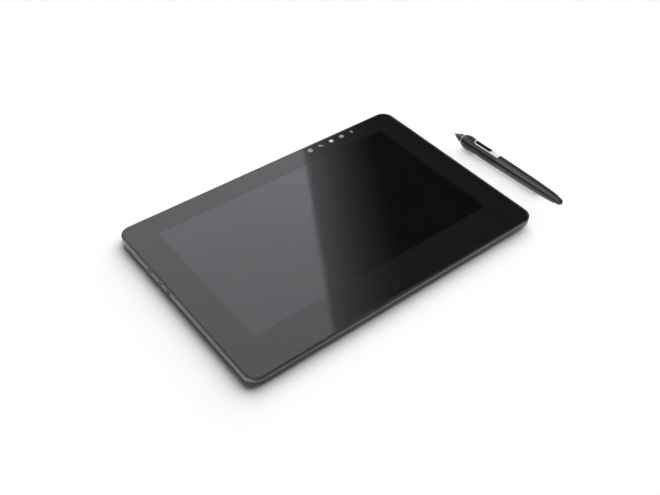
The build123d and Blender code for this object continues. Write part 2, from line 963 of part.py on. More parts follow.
def make_board_chips():
    low = board_top + seat_gap
    chips = [sheet(processor_size, processor_size, low, low + chip_height, processor_x, processor_y)]
    for step_x in (1, 2):
        for step_y in (-1, 0, 1):
            x = processor_x + step_x * chip_column_pitch
            y = processor_y + step_y * chip_row_pitch
            chips.append(sheet(chip_size, chip_size, low, low + chip_height, x, y))
    for x in (display_cable_x, sensor_cable_x):
        chips.append(sheet(connector_width, connector_depth, low, low + connector_height, x, connector_y()))
    return Compound([solid for chip in chips for solid in chip.solids()])


def make_flat_cable(x):
    run_z = board_top + connector_height + 3 * seat_gap + cable_thickness / 2
    drop_y = screen_shift - tray_width / 2 + sensor_near_inset / 2
    top_z = tray_low - seat_gap
    end_y = connector_y() + connector_depth / 2
    path = FilletPolyline((drop_y, top_z), (drop_y, run_z), (end_y, run_z), radius=cable_bend)
    strip = Plane(origin=(x - cable_width / 2, 0, 0), x_dir=(0, 1, 0), z_dir=(1, 0, 0)) * trace(
        path, line_width=cable_thickness
    )
    return extrude(strip, amount=cable_width)


# Fan, fins, heat pipe and mesh
def fan_case_block(margin, low, top):
    half_x = fan_case_length / 2 - margin
    half_y = fan_case_width / 2 - margin
    return block(fan_x - half_x, fan_x + half_x, fan_y - half_y, fan_y + half_y, low, top)


def make_fan_housing():
    low = fan_case_low + fan_case_sheet
    top = fan_case_top - fan_case_sheet
    case = fan_case_block(0, fan_case_low, fan_case_top)
    room = post(fan_bore_radius, low, top, fan_x, fan_y)
    outlet = block(
        fan_x,
        fan_x + fan_case_length,
        fan_y - fan_case_width / 2 + fan_case_wall,
        fan_y + fan_case_width / 2 - fan_case_wall,
        low,
        top,
    )
    intake = post(fan_intake_radius, low - overrun, low + seat_gap, fan_x, fan_y)
    axle = post(fan_post_radius, low + loose_gap, top + seat_gap, fan_x, fan_y)
    return case - room - outlet - intake + axle


def make_fan_rotor():
    low = fan_case_low + fan_case_sheet + loose_gap
    top = fan_case_top - fan_case_sheet - loose_gap
    rotor = post(fan_hub_radius, low, top)
    blade = block(0, fan_blade_reach - fan_hub_radius / 2, 0, fan_blade_thickness, low, top)
    leaning = Pos(fan_hub_radius / 2, 0, 0) * Rot(0, 0, fan_blade_lean_degrees / 2) * blade
    for index in range(fan_blade_count):
        rotor = rotor + Rot(0, 0, index * 360 / fan_blade_count) * leaning
    outside = post(fan_blade_reach, low, top)
    inside = post(fan_blade_reach - fan_blade_thickness, low - overrun, top + overrun)
    rotor = (rotor & outside) + (outside - inside)
    rotor = rotor - post(fan_post_radius + pin_clearance, low - overrun, top + overrun)
    return Pos(fan_x, fan_y, 0) * rotor


def make_cooling_fins():
    top = pipe_low - seat_gap
    span = fan_case_width - 2 * fan_case_wall
    half = fin_block_length / 2
    fins = block(fin_x - half, fin_x + half, fan_y - span / 2, fan_y + span / 2, top - fin_base, top)
    for shift in spread(fin_count, (span - fin_sheet) / (fin_count - 1)):
        y = fan_y + shift
        fin = block(fin_x - half, fin_x + half, y - fin_sheet / 2, y + fin_sheet / 2, top - fin_height, top)
        fins = fins + fin
    return fins


def make_heat_pipe():
    path = FilletPolyline(
        (fin_x - fin_block_length / 2, fan_y),
        (processor_x, fan_y),
        (processor_x, processor_y - processor_size / 2),
        radius=heat_pipe_bend,
    )
    return Pos(0, 0, pipe_low) * extrude(trace(path, line_width=heat_pipe_width), amount=heat_pipe_thickness)


def make_vent_mesh():
    length = vent_count * vent_pitch + mesh_margin
    mesh = sheet(length, vent_slot_length + mesh_margin, mesh_low, mesh_low + mesh_thickness, fan_x, fan_y)
    holes = []
    for dx in spread(int(length / mesh_pitch) - 1, mesh_pitch):
        for dy in spread(int(vent_slot_length / mesh_pitch), mesh_pitch):
            hole = sheet(mesh_hole, mesh_hole, mesh_low - overrun, mesh_low + overrun, fan_x + dx, fan_y + dy)
            holes.append(hole)
    return mesh - holes


# The pen is drawn along +Z from its tip, with its switch facing +X
def pen_place():
    turn = math.radians(pen_turn_degrees)
    tilt = math.radians(pen_tilt_degrees)
    axis = Vector(math.sin(turn) * math.cos(tilt), -math.cos(turn) * math.cos(tilt), -math.sin(tilt))
    lean = math.radians(90 - switch_turn_degrees)
    facing = Vector(math.cos(lean), 0, math.sin(lean))
    facing = (facing - axis * facing.dot(axis)).normalized()
    return Plane(origin=(pen_tip_x, pen_tip_y, 0), x_dir=facing, z_dir=axis)


def turned(points):
    outline = Polyline(*[(radius, 0, along) for radius, along in points], close=True)
    return revolve(make_face(outline), axis=Axis.Z)


# Outside of the grip and the barrel, as a smooth line through the pen's widths
def body_outline(extra, start, end):
    knots = [
        (grip_front_radius, cone_end + ring_width),
        (flare_start_radius, flare_start),
        (flare_radius, flare),
        (waist_radius, waist),
        (body_radius, body_middle),
        (grip_end_radius, grip_end),
        (barrel_middle_radius, barrel_middle),
        (barrel_rear_radius, barrel_rear),
        (collar_start_radius, collar_start),
        (collar_end_radius, collar_end),
    ]
    curve = Spline(*[(radius + extra, 0, along) for radius, along in knots])
    first = curve @ 0
    last = curve @ 1
    closing = Polyline(last, (0, 0, last.Z), (0, 0, first.Z), first)
    whole = revolve(make_face(Wire([curve] + closing.edges())), axis=Axis.Z)
    keep = Pos(0, 0, (start + end) / 2) * Cylinder(flare_radius + overrun, end - start)
    return whole & keep


def bore(radius, start, end):
    return Pos(0, 0, (start + end) / 2) * Cylinder(radius, end - start)


# Upright block with round ends, standing on the given floor inside the pen
def switch_prism(start, end, width, floor):
    base = Plane(origin=(floor, 0, (start + end) / 2), x_dir=(0, 0, 1), z_dir=(1, 0, 0))
    return extrude(base * SlotOverall(end - start, width), amount=flare_radius + overrun - floor)


# The same with a square rear end, as the frame and its pocket have where they meet the barrel
def frame_prism(gap, end, floor):
    start = frame_start - gap
    width = frame_width + 2 * gap
    top = flare_radius + overrun
    rear = block(floor, top, -width / 2, width / 2, (start + end) / 2, end)
    return switch_prism(start, end, width, floor) + rear


# Round rod or hole across the pen, on the axis that the switch rocks about
def rocker_rod(radius, length):
    return Pos(rocker_pin_height, 0, rocker_middle) * Rot(90, 0, 0) * Cylinder(radius, length)


# Room that the rocker needs in the piece around it, down to the given floor
def rocker_room(floor):
    return switch_prism(
        rocker_start - rocker_gap, rocker_end + rocker_gap, rocker_width + 2 * rocker_gap, floor
    )


def make_pen_cone():
    front = nib_showing
    side = Spline(
        (cone_front_radius, 0, front), (cone_middle_radius, 0, cone_middle), (cone_rear_radius, 0, cone_end)
    )
    rest = Polyline(
        (cone_rear_radius, 0, cone_end),
        (cone_spigot_radius, 0, cone_end),
        (cone_spigot_radius, 0, cone_spigot_end),
        (0, 0, cone_spigot_end),
        (0, 0, front),
        (cone_front_radius, 0, front),
    )
    outside = revolve(make_face(Wire([side] + rest.edges())), axis=Axis.Z)
    passage = bore(nib_radius + nib_clearance, front - overrun, cone_spigot_end + overrun)
    room = bore(cone_spigot_bore, cone_end, cone_spigot_end + overrun)
    return outside - passage - room


def make_pen_ring():
    start = cone_end + seat_gap
    end = cone_end + ring_width - seat_gap
    return bore(ring_radius, start, end) - bore(cone_spigot_radius + seat_gap, start - overrun, end + overrun)


def switch_pocket():
    frame_room = frame_prism(seat_gap, grip_end + overrun, frame_floor - seat_gap)
    boss_room = rocker_room(rocker_pin_height - rocker_boss_radius - rocker_gap)
    return frame_room + boss_room + rocker_rod(rocker_pin_radius + seat_gap, frame_width + 2 * rocker_gap)


def make_pen_grip():
    grip = body_outline(0, cone_end + ring_width, grip_end)
    grip = grip - bore(pen_bore_radius, cone_end - overrun, grip_end + overrun)
    return grip - switch_pocket()


def make_pen_barrel():
    barrel = body_outline(0, grip_end + seam_gap, collar_start)
    return barrel - bore(barrel_bore_radius, grip_end - overrun, collar_start + overrun)


def make_tail_collar():
    collar = body_outline(0, collar_start + seam_gap, collar_end)
    return collar - bore(eraser_radius + loose_gap, collar_start - overrun, collar_end + overrun)


def make_switch_frame():
    frame = body_outline(frame_proud, frame_start, grip_end) & frame_prism(0, grip_end, frame_floor)
    pin_room = rocker_rod(rocker_pin_radius + seat_gap, frame_width + overrun)
    ramp_start = (body_radius + frame_proud, 0, grip_end - frame_ramp)
    ramp = Plane(origin=ramp_start, x_dir=(0, 1, 0), z_dir=(1, 0, frame_ramp_slope_share))
    cut = Box(frame_width + overrun, 2 * frame_ramp, overrun, align=(Align.CENTER, Align.MIN, Align.MIN))
    return frame - rocker_room(frame_floor - overrun) - pin_room - ramp.location * cut


def make_side_switch():
    outside = body_outline(rocker_proud, rocker_start, rocker_end)
    rocker = outside & switch_prism(rocker_start, rocker_end, rocker_width, rocker_floor)
    boss = rocker_rod(rocker_boss_radius, rocker_width)
    return rocker + boss - rocker_rod(rocker_pin_radius + pin_clearance, rocker_width + overrun)


def make_switch_pin():
    return rocker_rod(rocker_pin_radius, frame_width)


def make_pen_nib():
    shaft = turned(
        [
            (0, 0),
            (nib_tip_radius, 0),
            (nib_radius, nib_taper),
            (nib_radius, nib_length),
            (0, nib_length),
        ]
    )
    tip_edges = [edge for edge in shaft.edges().filter_by(GeomType.CIRCLE) if edge.center().Z < seat_gap]
    return fillet(tip_edges, radius=nib_tip_radius * nib_round_share)


def make_pen_coil():
    end = coil_start + coil_length
    return bore(coil_radius, coil_start, end) - bore(coil_bore_radius, coil_start - overrun, end + overrun)


def make_pressure_sensor():
    start = nib_length + nib_travel + loose_gap
    return bore(coil_radius, start, start + pressure_sensor_length)


def make_pen_board():
    half = pen_board_width / 2
    return block(
        pen_board_height, pen_board_height + pen_board_thickness, -half, half, pen_board_start, pen_board_end
    )


def make_eraser_sensor():
    return bore(barrel_bore_radius - seat_gap, eraser_sensor_end - eraser_sensor_length, eraser_sensor_end)


def make_eraser():
    dome = Bezier(
        (eraser_shoulder_radius, 0, eraser_shoulder),
        (eraser_shoulder_radius, 0, eraser_shoulder + eraser_dome_length * eraser_dome_share),
        (eraser_shoulder_radius * eraser_dome_share, 0, pen_length),
        (0, 0, pen_length),
    )
    side = Polyline(
        (0, 0, pen_length),
        (0, 0, eraser_stem_end),
        (eraser_stem_radius, 0, eraser_stem_end),
        (eraser_stem_radius, 0, eraser_inner_end),
        (eraser_radius, 0, eraser_inner_end),
        (eraser_radius, 0, collar_end),
        (eraser_shoulder_radius, 0, eraser_shoulder),
    )
    return revolve(make_face(Wire([dome.edge()] + list(side.edges()))), axis=Axis.Z)


# All pieces of the tablet
tablet = {
    "rear_cover": make_rear_cover(),
    "cover_glass": make_cover_glass(),
    "bezel_mask": make_bezel_mask(),
    "glass_gasket": make_glass_gasket(),
    "key_symbols": make_key_symbols(),
    "touch_key_board": make_touch_key_board(),
    "touch_film": film(touch_top, touch_low, 0),
    "lcd_cell": film(cell_top, cell_low, 0),
    "diffuser_film": film(diffuser_top, diffuser_low, film_inset),
    "prism_film": film(prism_top, prism_low, film_inset),
    "light_guide": make_light_guide(),
    "reflector_film": film(reflector_top, reflector_low, film_inset),
    "led_bar": make_led_bar(),
    "panel_tray": make_panel_tray(),
    "pen_sensor_board": sensor_sheet(sensor_low, sensor_top),
    "sensor_shield": sensor_sheet(shield_low, shield_top),
    "mid_frame": make_mid_frame(),
    "left_port_board": make_left_port_board(),
    "right_port_board": make_right_port_board(),
    "usb_socket_left_rear": make_usb_socket(-1, usb_left_far_y),
    "usb_socket_left_front": make_usb_socket(-1, usb_left_near_y),
    "usb_socket_right": make_usb_socket(1, usb_right_y),
    "headphone_jack": make_headphone_jack(),
    "card_slot": make_card_slot(),
    "power_button": make_power_button(),
    "power_switch": make_power_switch(),
    "front_foot": make_foot(foot_rows()["front"]),
    "rear_foot": make_foot(foot_rows()["rear"]),
    "cover_screws": make_cover_screws(),
    "board_screws": make_board_screws(),
    "main_board": make_main_board(),
    "board_chips": make_board_chips(),
    "display_cable": make_flat_cable(display_cable_x),
    "sensor_cable": make_flat_cable(sensor_cable_x),
    "fan_housing": make_fan_housing(),
    "fan_rotor": make_fan_rotor(),
    "cooling_fins": make_cooling_fins(),
    "heat_pipe": make_heat_pipe(),
    "vent_mesh": make_vent_mesh(),
}
for leg_name, leg_x in leg_sides().items():
    tablet[leg_name + "_leg"] = make_leg(leg_x)
    tablet[leg_name + "_leg_tip"] = make_leg_tip(leg_x)
    tablet[leg_name + "_leg_pin"] = make_leg_pin(leg_x)

# All pieces of the pen, laid on the table beside the tablet
pen = {
    "pen_cone": make_pen_cone(),
    "pen_ring": make_pen_ring(),
    "pen_grip": make_pen_grip(),
    "pen_barrel": make_pen_barrel(),
    "tail_collar": make_tail_collar(),
    "switch_frame": make_switch_frame(),
    "switch_pin": make_switch_pin(),
    "side_switch": make_side_switch(),
    "pen_nib": make_pen_nib(),
    "pen_coil": make_pen_coil(),
    "pressure_sensor": make_pressure_sensor(),
    "pen_board": make_pen_board(),
    "eraser": make_eraser(),
    "eraser_sensor": make_eraser_sensor(),
}
pen_frame = pen_place()
laid_pen = {name: pen_frame.location * piece for name, piece in pen.items()}
pen_box = Compound([solid for piece in laid_pen.values() for solid in piece.solids()]).bounding_box()
pen_lift = -pen_box.min.Z

# The origin lies under the middle of the set
x_low = min(-half_length, pen_box.min.X)
x_high = max(half_length, pen_box.max.X)
y_low = min(-half_width, pen_box.min.Y)
y_high = max(half_width + button_proud, pen_box.max.Y)
set_x = (x_low + x_high) / 2
set_y = (y_low + y_high) / 2

for name, piece in tablet.items():
    export_step(Pos(-set_x, -set_y, 0) * piece, "parts/" + name + ".step")
for name, piece in laid_pen.items():
    export_step(Pos(-set_x, -set_y, pen_lift) * piece, "parts/" + name + ".step")

print("origin from the tablet's middle", set_x, set_y, "pen lift", pen_lift)
print("set length", x_high - x_low, "width", y_high - y_low)
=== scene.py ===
# %% [markdown]
# A drawing tablet with a built-in screen, and its pen, dressed in Blender. The solid model was drawn in
# CAD and packed. It is loaded here as a fixed frame, so each piece already sits where it belongs, in
# metres, with the table at height zero. No piece is changed and none is added: this file brings what CAD
# doesn't hold, which is the camera, the table, the light and the finish of each surface.

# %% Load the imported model
import math

import bmesh
import bpy
from mathutils import Matrix, Vector

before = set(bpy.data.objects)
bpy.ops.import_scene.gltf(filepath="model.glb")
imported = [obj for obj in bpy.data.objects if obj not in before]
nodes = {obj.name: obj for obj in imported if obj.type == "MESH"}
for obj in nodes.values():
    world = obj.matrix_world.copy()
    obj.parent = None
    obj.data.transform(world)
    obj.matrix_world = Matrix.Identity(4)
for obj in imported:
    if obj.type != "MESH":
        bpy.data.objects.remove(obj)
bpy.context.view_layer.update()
MM = 0.001

# %% [markdown]
# The camera comes first, because everything else is judged through it. Its place and its three directions
# were solved from the tablet's outline in the photograph. A lens that is shifted a little, instead of a
# camera that is turned, keeps the vanishing points where the photograph has them.

# %% Camera
CAMERA_PLACE = Vector((-0.445786, -0.484192, 0.593760))
CAMERA_RIGHT = Vector((0.7847018760, -0.6191723872, 0.0294706769))
CAMERA_UP = Vector((0.3968643123, 0.5383467205, 0.7434255351))
CAMERA_SENSOR = 36.0
CAMERA_LENS = 46.1524
CAMERA_SHIFT = (0.0190, -0.04295)
CAMERA_REACH = (0.01, 50.0)


def rounded(values):
    return [round(value, 3) for value in values]


def make_camera():
    data = bpy.data.cameras.new("photo_camera")
    data.sensor_width = CAMERA_SENSOR
    data.lens = CAMERA_LENS
    data.shift_x, data.shift_y = CAMERA_SHIFT
    data.clip_start, data.clip_end = CAMERA_REACH
    camera = bpy.data.objects.new("photo_camera", data)
    back = CAMERA_RIGHT.cross(CAMERA_UP)
    turn = Matrix((CAMERA_RIGHT, CAMERA_UP, back)).transposed()
    camera.matrix_world = Matrix.Translation(CAMERA_PLACE) @ turn.to_4x4()
    bpy.context.scene.collection.objects.link(camera)
    bpy.context.scene.camera = camera
    return camera


camera = make_camera()
bpy.context.scene.view_settings.view_transform = "Standard"
print("camera at", rounded(camera.location))

# %% [markdown]
# Every surface needs a material and the nodes that feed it. These can be drawn in the editor, or added
# one call at a time, and both get long. So a small class wraps a node's output socket and lets Python's
# own signs add the Math nodes: 1 - mask * 0.5 makes two of them. Each sign has its reflected form, for a
# plain number that stands first.

# %% Sums written as Python
class Wire:
    def __init__(self, finish, node, socket=0):
        self.finish = finish
        self.node = node
        self.socket = node.outputs[socket]

    def out(self, name):
        return Wire(self.finish, self.node, name)

    def math(self, operation, first, second=0.0, clamp=False):
        settings = {"operation": operation, "use_clamp": clamp}
        return self.finish.node("ShaderNodeMath", settings, {0: first, 1: second})

    def __add__(self, other):
        return self.math("ADD", self, other)

    def __radd__(self, other):
        return self.math("ADD", other, self)

    def __sub__(self, other):
        return self.math("SUBTRACT", self, other)

    def __rsub__(self, other):
        return self.math("SUBTRACT", other, self)

    def __mul__(self, other):
        return self.math("MULTIPLY", self, other)

    def __rmul__(self, other):
        return self.math("MULTIPLY", other, self)

    def __truediv__(self, other):
        return self.math("DIVIDE", self, other)

    def __rtruediv__(self, other):
        return self.math("DIVIDE", other, self)

    def __gt__(self, other):
        return self.math("GREATER_THAN", self, other)

    def __lt__(self, other):
        return self.math("LESS_THAN", self, other)

    def __abs__(self):
        return self.math("ABSOLUTE", self)

    def larger(self, other):
        return self.math("MAXIMUM", self, other)

    def clamped(self):
        return self.math("ADD", self, 0.0, clamp=True)


print("signs that add a node: + - * / > < abs")

# %% [markdown]
# A second class adds every other type of node to a tree. One method takes the node's type, its settings,
# which are set first, and the values or wires of its sockets. A colour can be given as one grey number or
# as three, and the fourth that Blender wants is added here, once for all.

# %% Adding nodes to a tree
def colour(shade):
    if isinstance(shade, tuple):
        return (*shade, 1.0)
    return (shade, shade, shade, 1.0)


class Graph:
    def __init__(self, tree):
        self.tree = tree

    def node(self, kind, settings=None, inputs=None):
        made = self.tree.nodes.new(kind)
        for key, value in (settings or {}).items():
            if key == "stops":
                self.stops(made.color_ramp, value)
            else:
                setattr(made, key, value)
        for key, value in (inputs or {}).items():
            self.feed(made.inputs[key], value)
        return Wire(self, made)

    def stops(self, ramp, stops):
        while len(ramp.elements) < len(stops):
            ramp.elements.new(0.5)
        for element, (place, shade) in zip(ramp.elements, stops):
            element.position = place
            element.color = colour(shade)

    def feed(self, socket, value):
        if isinstance(value, Wire):
            self.tree.links.new(value.socket, socket)
        elif socket.type == "RGBA":
            socket.default_value = colour(value)
        else:
            socket.default_value = value


print("a grey of 0.5 becomes", colour(0.5))

# %% [markdown]
# A finish is such a tree in a material, with the few patterns that this object's surfaces share. All of
# them read Object coordinates. These are metres here, so a grain of half a millimetre is that size on
# every piece, and it stays on its piece when a joint moves. A noise seldom leaves its middle values, so a
# tone that follows one changes between NOISE_LOW and NOISE_HIGH only.

# %% Finishes and their patterns
NOISE_LOW = 0.3
NOISE_HIGH = 0.7


class Finish(Graph):
    def __init__(self, name, **constants):
        self.material = bpy.data.materials.new(name)
        self.material.use_nodes = True
        super().__init__(self.material.node_tree)
        self.shader = self.tree.nodes["Principled BSDF"]
        self.place = self.node("ShaderNodeTexCoord").out("Object")
        for socket, value in constants.items():
            self.set(socket.replace("_", " "), value)

    def set(self, socket, value):
        self.feed(self.shader.inputs[socket], value)

    def axes(self):
        split = self.node("ShaderNodeSeparateXYZ", None, {"Vector": self.place})
        return split.out("X"), split.out("Y"), split.out("Z")

    def squeezed(self, scale):
        return self.node("ShaderNodeMapping", None, {"Vector": self.place, "Scale": scale})

    def noise(self, size, detail=3.0, place=None):
        inputs = {"Vector": place or self.place, "Scale": 1.0 / size, "Detail": detail}
        return self.node("ShaderNodeTexNoise", None, inputs).out("Fac")

    def cells(self, size, output, **settings):
        inputs = {"Vector": self.place, "Scale": 1.0 / size}
        return self.node("ShaderNodeTexVoronoi", settings, inputs).out(output)

    def ramp(self, factor, *stops):
        return self.node("ShaderNodeValToRGB", {"stops": stops}, {"Fac": factor})

    def blend(self, factor, first, second):
        inputs = {"Factor": factor, "A": first, "B": second}
        made = self.node("ShaderNodeMix", {"data_type": "RGBA"})
        for socket in made.node.inputs:
            if socket.name in inputs and socket.type in ("RGBA", "VALUE") and socket.enabled:
                self.feed(socket, inputs[socket.name])
        result = next(index for index, socket in enumerate(made.node.outputs) if socket.enabled)
        return Wire(self, made.node, result)

    def scaled(self, vector, factor):
        return self.node("ShaderNodeVectorMath", {"operation": "SCALE"}, {0: vector, "Scale": factor})

    def vary_tone(self, factor, low, high):
        self.set("Base Color", self.ramp(factor, (NOISE_LOW, low), (NOISE_HIGH, high)))

    def vary_roughness(self, factor, low, high):
        self.set("Roughness", low + factor * (high - low))

    def bump(self, height, depth, strength):
        inputs = {"Height": height, "Distance": depth, "Strength": strength}
        self.set("Normal", self.node("ShaderNodeBump", None, inputs).out("Normal"))


print("a noise changes a tone between", NOISE_LOW, "and", NOISE_HIGH)

# %% [markdown]
# The set lies on a plain white table that runs on into the background without a seam. A studio has a
# curved sheet of paper for that. Here one large flat square does it, because the surroundings behind it
# are as white as it is. Its paper is quite dull, and its tone wanders a very little, as real paper's
# does.

# %% Table
TABLE_HALF = 6.0
TABLE_TONE = 0.9
TABLE_SPREAD = 0.005
TABLE_CLOUD = 0.4


def table_finish():
    paper = Finish("table_paper", Roughness=1.0, Specular_IOR_Level=0.0)
    darker = (0.0, TABLE_TONE - TABLE_SPREAD)
    lighter = (1.0, TABLE_TONE + TABLE_SPREAD)
    paper.set("Base Color", paper.ramp(paper.noise(TABLE_CLOUD), darker, lighter))
    return paper.material


def make_floor():
    mesh = bpy.data.meshes.new("table")
    work = bmesh.new()
    bmesh.ops.create_grid(work, x_segments=1, y_segments=1, size=TABLE_HALF)
    work.to_mesh(mesh)
    work.free()
    floor = bpy.data.objects.new("table", mesh)
    bpy.context.scene.collection.objects.link(floor)
    mesh.materials.append(table_finish())


make_floor()
print("table of tone", TABLE_TONE, "and", 2 * TABLE_HALF, "m across")

# %% [markdown]
# A white room would light the object from everywhere, and its shadow would fade. Light Path says what
# kind of ray is asking, so the surroundings can be two things at once. They are drawn white to the
# camera, to mirrors and to glass, but they light the object only dimly, so that the lamps shape it and
# the shadow under its edge turns dark.

# %% Surroundings
AMBIENT = 0.05
WHITE = (1.0, 1.0, 1.0)


def make_world():
    world = bpy.data.worlds.new("studio")
    world.use_nodes = True
    bpy.context.scene.world = world
    room = Graph(world.node_tree)
    path = room.node("ShaderNodeLightPath")
    seen = path.out("Is Camera Ray") + path.out("Is Glossy Ray")
    seen = (seen + path.out("Is Transmission Ray")).clamped()
    lit = Wire(room, room.tree.nodes["Background"])
    room.feed(lit.node.inputs["Color"], WHITE)
    room.feed(lit.node.inputs["Strength"], AMBIENT)
    shown = room.node("ShaderNodeBackground", None, {"Color": WHITE, "Strength": 1.0})
    mix = room.node("ShaderNodeMixShader", None, {"Fac": seen, 1: lit, 2: shown})
    room.feed(room.tree.nodes["World Output"].inputs["Surface"], mix)


make_world()
print("surroundings light the object at", AMBIENT)

# %% [markdown]
# Two lamps light the table. The main one is very wide and stands on the right, half way up, so that a
# soft deep shadow falls to the left. A weak one behind the far left corner lights the left side band.
# Both are sun lamps, whose light is the same over the whole table: an area lamp as wide as the main one
# would have to be huge or very near. Their width, given as an angle, sets how soft each shadow's edge is.
# They are hidden from reflections: what the glass mirrors is set by the tent of the next steps.

# %% Lamps
LAMPS = {
    "key_lamp": {"azimuth": 26.0, "height": 45.0, "spread": 84.0, "level": 4.6},
    "side_lamp": {"azimuth": 150.0, "height": 24.0, "spread": 16.0, "level": 0.30},
}


def make_lamp(name, azimuth, height, spread, level):
    turn, rise = math.radians(azimuth), math.radians(height)
    aim = Vector((math.cos(turn) * math.cos(rise), math.sin(turn) * math.cos(rise), math.sin(rise)))
    data = bpy.data.lights.new(name, "SUN")
    data.angle = math.radians(spread)
    data.energy = level
    lamp = bpy.data.objects.new(name, data)
    lamp.location = aim
    lamp.rotation_euler = (-aim).to_track_quat("-Z", "Y").to_euler()
    lamp.visible_glossy = False
    lamp.visible_transmission = False
    bpy.context.scene.collection.objects.link(lamp)
    print(name, "level", level, "from", rounded(aim))


for name, setting in LAMPS.items():
    make_lamp(name, **setting)

# %% [markdown]
# The left part of the glass mirrors a bright strip, and the right part mirrors darkness that starts at a
# sharp edge. A photographer draws shiny surfaces this way, with a tent of dark card over the object and
# one bright strip in its ceiling. The strip's edge is a straight line in the room, so two points where it
# shows on the glass fix it: the line of sight is mirrored in the glass and followed up to the ceiling.

# %% Edge of the bright strip
GLASS_HEIGHT = 12.9 * MM
TENT_HEIGHT = 1.2
EDGE_FAR_POINT = Vector((25.56 * MM, 115.51 * MM, GLASS_HEIGHT))
EDGE_NEAR_POINT = Vector((-117.87 * MM, -115.78 * MM, GLASS_HEIGHT))


def mirrored_up(point):
    below = CAMERA_PLACE.copy()
    below.z = 2 * GLASS_HEIGHT - CAMERA_PLACE.z
    share = (TENT_HEIGHT - below.z) / (point.z - below.z)
    return below + (point - below) * share


edge_far = mirrored_up(EDGE_FAR_POINT)
edge_near = mirrored_up(EDGE_NEAR_POINT)
print("edge of the strip from", rounded(edge_near), "to", rounded(edge_far))

# %% [markdown]
# The strip could be a lamp of its own, but then it would have to be lined up with the card around it.
# Instead the tent's own paper glows, by its distance from the edge: full up to the edge, with a sharp
# drop there and a faint rest that dies away beyond. It glows a little more towards the far side. The part
# of it that the pen mirrors is stronger, and draws the long highlight on the pen. Its tint is slightly
# cool, as the mirrored light in the photograph is.

# %% Glow of the strip
EDGE_FADE = 0.262
STRIP_LEVEL = 1.03
STRIP_SLOPE = 0.12
STRIP_TINT = (0.975, 1.0, 1.045)
STRIP_WIDTH = 2.3
STRIP_END_FADE = 0.9
PEN_STRIP_EDGE = -0.62
PEN_STRIP_FADE = 0.3
PEN_STRIP_GAIN = 1.05


def tent_paper():
    paper = Finish("card_paper")
    across, along = paper.axes()[:2]
    fade = paper.ramp(
        across / EDGE_FADE,
        (0.0, 1.0),
        (0.06, 0.41),
        (0.21, 0.28),
        (0.42, 0.155),
        (0.63, 0.07),
        (0.84, 0.02),
        (1.0, 0.0),
    )
    inside = ((across + STRIP_WIDTH) / STRIP_END_FADE).clamped()
    for_pen = ((PEN_STRIP_EDGE - across) / PEN_STRIP_FADE).clamped()
    level = (STRIP_LEVEL + along * STRIP_SLOPE + for_pen * PEN_STRIP_GAIN) * inside
    tinted = paper.node("ShaderNodeVectorMath", {"operation": "MULTIPLY"}, {0: fade, 1: STRIP_TINT})
    glow = paper.node("ShaderNodeEmission", None, {"Color": paper.scaled(tinted, level)})
    paper.feed(paper.tree.nodes["Material Output"].inputs["Surface"], glow)
    return paper.material


print("strip is", STRIP_WIDTH, "m wide and fades out over", EDGE_FADE, "m beyond its edge")

# %% [markdown]
# The tent is a box without a floor that stands on the table, laid so that the strip's edge runs along its
# ceiling. A ceiling alone would let the white surroundings into the reflections that look low across the
# glass and the pen, and its walls keep them out. Only mirrored rays and rays through glass see the tent:
# it is hidden from the camera, sends no light to the table and casts no shadow.

# %% Tent of dark card
TENT_LENGTH = 6.0
TENT_LEFT = 3.6
TENT_RIGHT = 3.4
UP = Vector((0.0, 0.0, 1.0))
POINTS_DOWN = -0.5


def make_tent():
    along = (edge_far - edge_near).normalized()
    across = along.cross(UP)
    mesh = bpy.data.meshes.new("dark_card")
    work = bmesh.new()
    bmesh.ops.create_cube(work, size=1.0)
    bmesh.ops.scale(work, vec=(TENT_LEFT + TENT_RIGHT, TENT_LENGTH, TENT_HEIGHT), verts=work.verts)
    bmesh.ops.translate(work, vec=((TENT_RIGHT - TENT_LEFT) / 2, 0.0, -TENT_HEIGHT / 2), verts=work.verts)
    bottom = [face for face in work.faces if face.normal.z < POINTS_DOWN]
    bmesh.ops.delete(work, geom=bottom, context="FACES")
    work.to_mesh(mesh)
    work.free()
    card = bpy.data.objects.new("dark_card", mesh)
    bpy.context.scene.collection.objects.link(card)
    turn = Matrix((across, along, UP)).transposed().to_4x4()
    card.matrix_world = Matrix.Translation((edge_far + edge_near) / 2) @ turn
    card.visible_camera = False
    card.visible_diffuse = False
    card.visible_shadow = False
    mesh.materials.append(tent_paper())


make_tent()
print("tent is", TENT_LEFT + TENT_RIGHT, "m wide,", TENT_LENGTH, "m long and", TENT_HEIGHT, "m high")

# %% [markdown]
# The front is one sheet of glass. Light that meets it is partly mirrored at its two faces, and the rest
# goes on to the black print and the dark panel behind. A black mirror would be simpler, but it would hide
# the step from print to panel. So the glass is real transmitting glass, with faint wiping marks in its
# roughness. Lamps reach the print straight through it, as they do through a thin clear sheet, so it casts
# no shadow.

# %% Glass front
GLASS_TONES = ((0.955, 0.965, 0.970), (0.975, 0.980, 0.980))
GLASS_CLOUD = 50 * MM
WIPE_SIZE = 30 * MM
WIPE_STRETCH = (1.0, 0.25, 1.0)
WIPE_ROUGHNESS = (0.02, 0.04)


def glass_finish():
    glass = Finish("front_glass", Transmission_Weight=1.0, IOR=1.5)
    glass.vary_tone(glass.noise(GLASS_CLOUD), *GLASS_TONES)
    wipes = glass.noise(WIPE_SIZE, detail=4.0, place=glass.squeezed(WIPE_STRETCH))
    glass.vary_roughness(wipes, *WIPE_ROUGHNESS)
    return glass.material


dressed = set()


def give(finish, *names):
    for name in names:
        slots = nodes[name].material_slots
        if not slots:
            nodes[name].data.materials.append(finish)
        for slot in slots:
            slot.material = finish
    dressed.update(names)
    print(finish.name, "on", ", ".join(names))


give(glass_finish(), "cover_glass")
nodes["cover_glass"].visible_shadow = False

